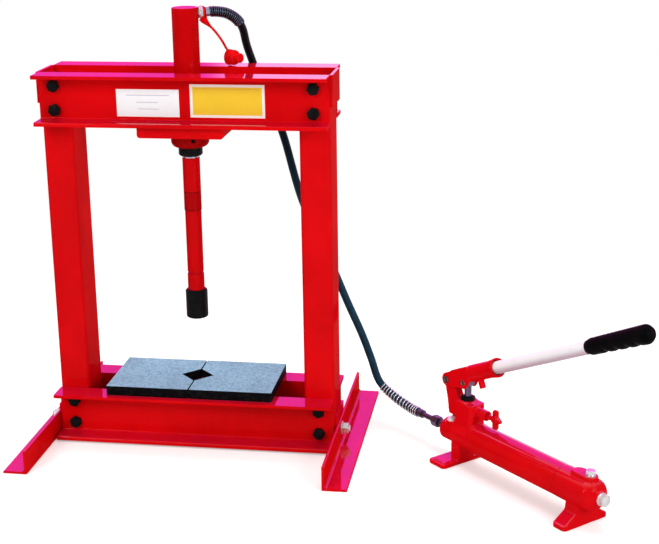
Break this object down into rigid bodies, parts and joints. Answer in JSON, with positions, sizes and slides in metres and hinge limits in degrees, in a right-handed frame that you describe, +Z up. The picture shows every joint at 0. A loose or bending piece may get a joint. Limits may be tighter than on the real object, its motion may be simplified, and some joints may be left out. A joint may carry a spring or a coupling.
{
  "type": "shop press",
  "caption": "Hydraulic shop press: red H-frame of channel beams on tube posts, hanging ram with screwed extensions, loose arbor plates, and a separate hand pump on a hose.",
  "frame": {"origin": "on the floor, directly below the ram's axis, midway between the posts", "axes": "+Z up along the ram's axis; +X to the press's right, towards the hand pump; +Y to the back, so the labelled beam faces -Y"},
  "size_m": [1.239, 0.6881, 0.8917],
  "materials": {
    "red_enamel": "gloss",
    "black_steel": "satin",
    "zinc_plate": "satin",
    "chrome": "polished",
    "ground_steel": "satin",
    "hose_rubber": "satin",
    "seal_rubber": "matte",
    "grip_rubber": "satin",
    "red_rubber": "satin",
    "white_film": "satin",
    "yellow_film": "satin",
    "spring_steel": "satin"
  },
  "bodies": {
    "frame": {"left_post": "red_enamel", "right_post": "red_enamel", "head_channel_front": "red_enamel", "head_channel_rear": "red_enamel", "bed_channel_front": "red_enamel", "bed_channel_rear": "red_enamel", "head_end_plate_left": "red_enamel", "head_end_plate_right": "red_enamel", "base_end_plate_left": "red_enamel", "base_end_plate_right": "red_enamel", "left_foot": "red_enamel", "right_foot": "red_enamel", "beam_bolts": "black_steel", "beam_washers": "black_steel", "beam_nuts": "black_steel", "foot_bolts": "zinc_plate", "foot_washers": "zinc_plate", "foot_nuts": "zinc_plate", "white_label": "white_film", "yellow_label": "yellow_film", "arbor_plate_left": "ground_steel", "arbor_plate_right": "ground_steel", "ram_mount_plate": "red_enamel", "ram_ring": "red_enamel", "ring_set_screw": "black_steel", "ram_barrel": "red_enamel", "ram_gland": "black_steel", "ram_coupler": "zinc_plate", "coupler_collar": "black_steel", "dust_cap": "red_rubber", "hose_ferrule_ram": "zinc_plate", "hose_guard_ram": "spring_steel", "hose": "hose_rubber", "hose_guard_pump": "spring_steel", "hose_ferrule_pump": "zinc_plate", "hose_nut": "zinc_plate", "port_nipple": "zinc_plate", "pump_head": "red_enamel", "port_plug": "zinc_plate", "reservoir_tube": "red_enamel", "reservoir_cap": "red_enamel", "filler_plug": "zinc_plate", "tie_rod": "zinc_plate", "end_nut": "zinc_plate", "pump_gland": "black_steel", "fulcrum_pin": "black_steel"},
    "ram_rod": {"ram_plunger": "chrome", "piston_seal": "seal_rubber", "return_spring": "spring_steel", "upper_extension": "red_enamel", "lower_extension": "red_enamel", "extension_adapter": "red_enamel", "press_head": "black_steel"},
    "lever": {"lever_socket": "red_enamel", "lever_rod": "zinc_plate", "lever_grip": "grip_rubber", "plunger_pin": "black_steel"},
    "plunger": {"pump_plunger": "chrome"},
    "valve": {"release_valve": "red_enamel"}
  },
  "joints": [
    {"name": "ram_slide", "type": "slide", "parent": "frame", "child": "ram_rod", "axis": [0, 0, -1], "range_m": [0, 0.125], "stiffness_N_per_m": 900, "springref_m": -0.1, "deforming": ["return_spring"]},
    {"name": "lever_hinge", "type": "hinge", "parent": "frame", "child": "lever", "pos_m": [0.52966, -0.05647, 0.166], "axis": [-0.7193, -0.6947, 0], "range_deg": [-19, 16]},
    {"name": "plunger_slide", "type": "slide", "parent": "frame", "child": "plunger", "axis": [0, 0, 1], "range_m": [-0.0168, 0.0142]},
    {"name": "release_valve_turn", "type": "hinge", "parent": "frame", "child": "valve", "pos_m": [0.62135, -0.15142, 0.12], "axis": [0.6947, -0.7193, 0], "range_deg": [0, 180]}
  ],
  "couplings": [
    {"joint": "plunger_slide", "follows": "lever_hinge", "m_per_rad": 0.0493}
  ]
}
